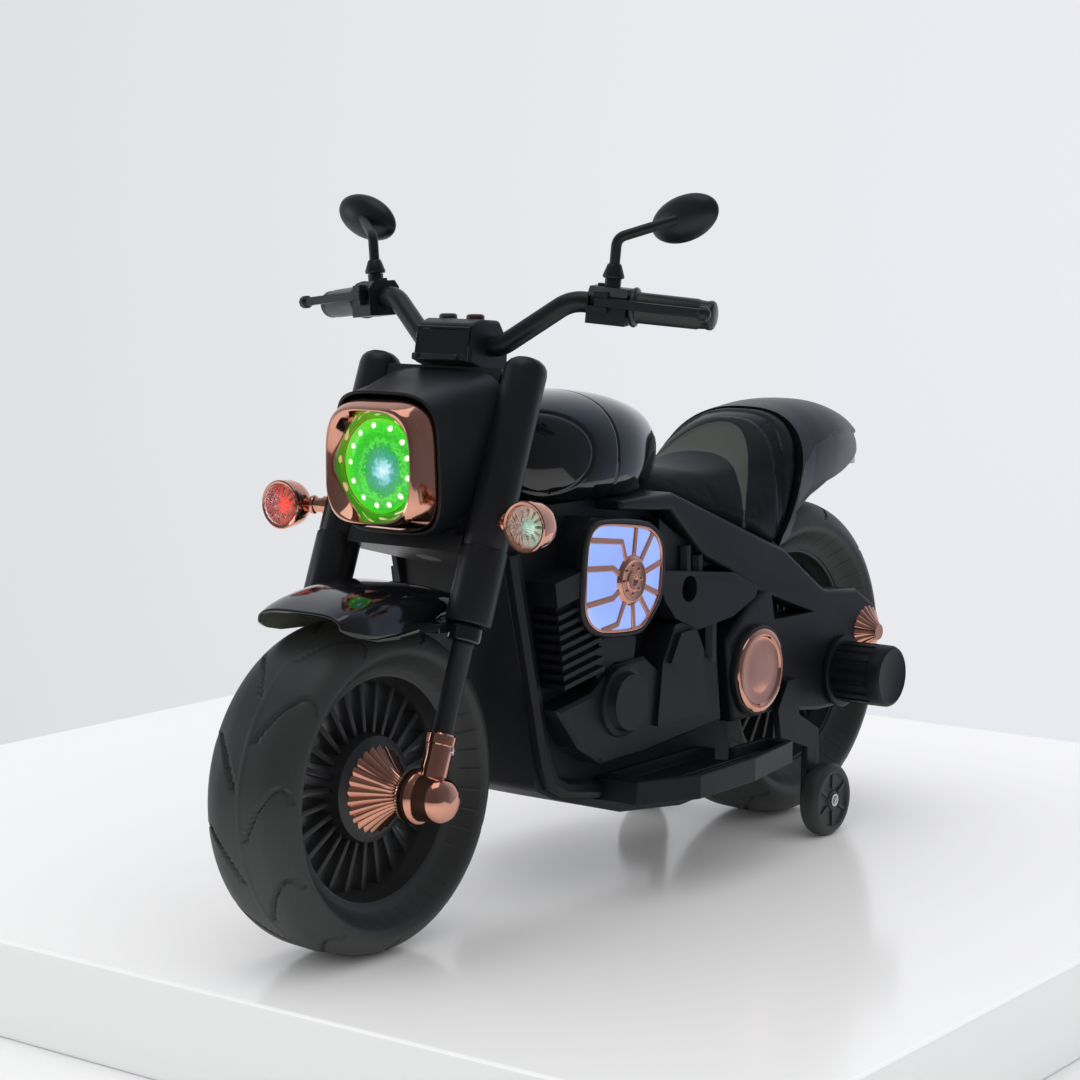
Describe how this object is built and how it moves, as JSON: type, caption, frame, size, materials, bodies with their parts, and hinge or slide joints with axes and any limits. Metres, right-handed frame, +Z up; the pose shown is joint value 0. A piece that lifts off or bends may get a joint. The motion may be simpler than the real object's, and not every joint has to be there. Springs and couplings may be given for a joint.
{
  "type": "kids electric motorbike",
  "caption": "Cruiser-style ride-on toy motorbike with raked fork, spoked wheels, teardrop tank, saddle, V-engine trim and stabilisers.",
  "frame": {"origin": "middle of the footprint's bounding box on the floor, between the wheels", "axes": "+Z up, the bike faces -Y, its left side is +X"},
  "size_m": [0.4524, 0.95, 0.6324],
  "materials": {
    "tyre_black": "matt",
    "satin_black": "satin",
    "gloss_black": "gloss",
    "copper": "rose-gold metallised plastic",
    "steel": "zinc plated",
    "clear": "clear moulded",
    "lamp_board": "lit green",
    "lit_panel": "lit blue",
    "tail_clear": "frosted",
    "grip_rubber": "matt",
    "button_red": "gloss",
    "button_grey": "gloss",
    "saddle": "grained",
    "mirror_silver": "polished",
    "battery_case": "moulded"
  },
  "bodies": {
    "chassis": {"body_left": "satin_black", "body_right": "satin_black", "battery": "battery_case", "tank_cover": "gloss_black", "tail_cowl": "satin_black", "seat_saddle": "saddle", "tail_light": "tail_clear", "swingarm_left": "satin_black", "swingarm_right": "satin_black", "rear_axle": "steel", "gearbox": "satin_black", "axle_bobbins": "satin_black", "rear_caps": "copper", "engine_left": "satin_black", "engine_right": "satin_black", "cleaner_panels": "lit_panel", "cleaner_grilles": "copper", "timing_covers": "copper", "footboard_left": "satin_black", "footboard_right": "satin_black", "stabiliser_arms": "satin_black"},
    "steering": {"fork_tubes": "satin_black", "fork_cover_left": "satin_black", "fork_cover_right": "satin_black", "fork_bridges": "satin_black", "steering_stem": "steel", "front_axle": "steel", "axle_clamps": "copper", "front_fender": "gloss_black", "headlight_nacelle": "satin_black", "headlight_bezel": "copper", "headlight_lens": "clear", "headlight_reflector": "lamp_board", "signal_housings": "copper", "signal_lenses": "clear", "handlebar": "satin_black", "dash_box": "satin_black", "switch_boxes": "satin_black", "grips": "grip_rubber"},
    "front_wheel": {"front_tyre": "tyre_black", "front_rim": "satin_black", "front_hub_cones": "copper"},
    "rear_wheel": {"rear_tyre": "tyre_black", "rear_rim": "satin_black", "drive_dog": "satin_black"},
    "start_button": {"start_button": "button_red"},
    "horn_button": {"horn_button": "button_grey"},
    "lever_left": {"lever_left": "satin_black"},
    "lever_right": {"lever_right": "satin_black"},
    "mirror_left": {"mirror_left": "satin_black", "mirror_glass_left": "mirror_silver"},
    "mirror_right": {"mirror_right": "satin_black", "mirror_glass_right": "mirror_silver"},
    "accelerator_pedal": {"accelerator_pedal": "satin_black"},
    "stabiliser_left": {"stabiliser_wheel_left": "tyre_black"},
    "stabiliser_right": {"stabiliser_wheel_right": "tyre_black"}
  },
  "joints": [
    {"name": "steer", "type": "hinge", "parent": "chassis", "child": "steering", "pos_m": [0, -0.30889, 0.12987], "axis": [0, 0.3616, 0.9323], "range_deg": [-22, 22]},
    {"name": "front_wheel_spin", "type": "hinge", "parent": "steering", "child": "front_wheel", "pos_m": [0, -0.335, 0.14], "axis": [1, 0, 0], "continuous": true},
    {"name": "rear_wheel_spin", "type": "hinge", "parent": "chassis", "child": "rear_wheel", "pos_m": [0, 0.313, 0.162], "axis": [1, 0, 0], "continuous": true},
    {"name": "stabiliser_left_spin", "type": "hinge", "parent": "chassis", "child": "stabiliser_left", "pos_m": [0.1095, 0.25, 0.036], "axis": [1, 0, 0], "continuous": true},
    {"name": "stabiliser_right_spin", "type": "hinge", "parent": "chassis", "child": "stabiliser_right", "pos_m": [-0.1095, 0.25, 0.036], "axis": [1, 0, 0], "continuous": true},
    {"name": "lever_left_pull", "type": "hinge", "parent": "steering", "child": "lever_left", "pos_m": [0.13252, -0.16665, 0.54077], "axis": [0.0938, 0.0174, 0.9954], "range_deg": [0, 3], "stiffness_Nm_per_rad": 0.6},
    {"name": "lever_right_pull", "type": "hinge", "parent": "steering", "child": "lever_right", "pos_m": [-0.13252, -0.16665, 0.54077], "axis": [0.0938, -0.0174, -0.9954], "range_deg": [0, 3], "stiffness_Nm_per_rad": 0.6},
    {"name": "mirror_left_turn", "type": "hinge", "parent": "steering", "child": "mirror_left", "pos_m": [0.13158, -0.14809, 0.55962], "axis": [0.0938, 0.0174, 0.9954], "range_deg": [-25, 25]},
    {"name": "mirror_right_turn", "type": "hinge", "parent": "steering", "child": "mirror_right", "pos_m": [-0.13158, -0.14809, 0.55962], "axis": [0.0938, -0.0174, -0.9954], "range_deg": [-25, 25]},
    {"name": "pedal_press", "type": "hinge", "parent": "chassis", "child": "accelerator_pedal", "pos_m": [-0.082, 0.077, 0.104], "axis": [1, 0, 0], "range_deg": [0, 6], "stiffness_Nm_per_rad": 0.5},
    {"name": "start_button_press", "type": "slide", "parent": "steering", "child": "start_button", "axis": [0, 0, -1], "range_m": [0, 0.0017], "stiffness_N_per_m": 500},
    {"name": "horn_button_press", "type": "slide", "parent": "steering", "child": "horn_button", "axis": [0, 0, -1], "range_m": [0, 0.0017], "stiffness_N_per_m": 500}
  ]
}
